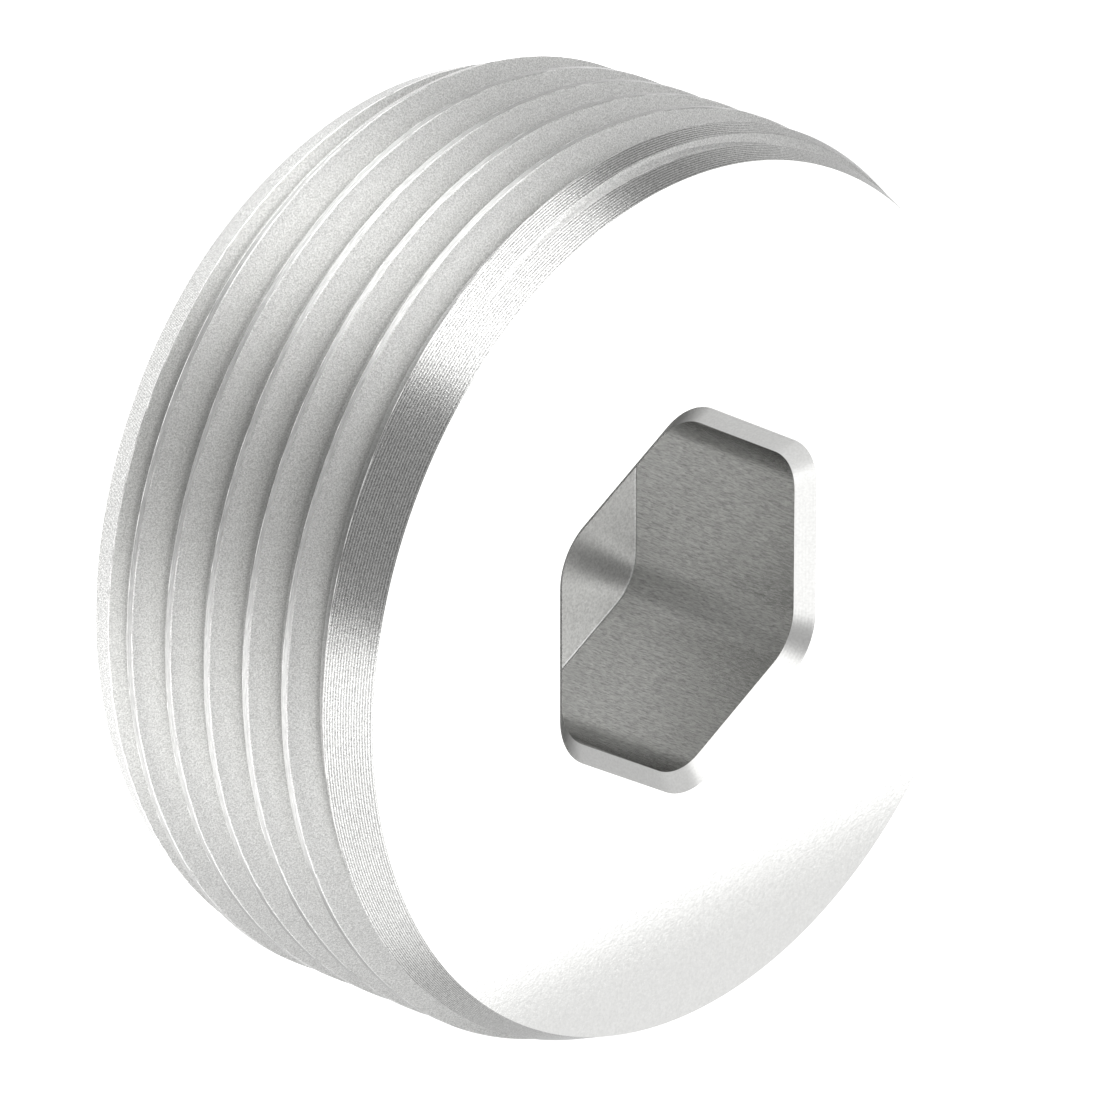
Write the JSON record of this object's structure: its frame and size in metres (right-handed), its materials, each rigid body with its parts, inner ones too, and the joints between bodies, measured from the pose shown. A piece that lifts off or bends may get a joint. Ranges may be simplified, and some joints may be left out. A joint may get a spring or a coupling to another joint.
{
  "type": "screw plug",
  "caption": "Headless threaded screw plug with a hexagon socket: a short cylinder with an external metric thread, chamfered ends and a blind hexagonal recess.",
  "frame": {"origin": "centre of the flat back face, which the plug stands on", "axes": "+Z along the axis of the thread and out of the hexagon socket, +X square to one flat of the hexagon"},
  "size_m": [0.036, 0.036, 0.0145],
  "materials": {
    "steel": "turned stainless steel, matt on the thread's flanks and fine-turned on the faces and chamfers"
  },
  "bodies": {
    "root": {"plug": "steel"}
  },
  "joints": []
}
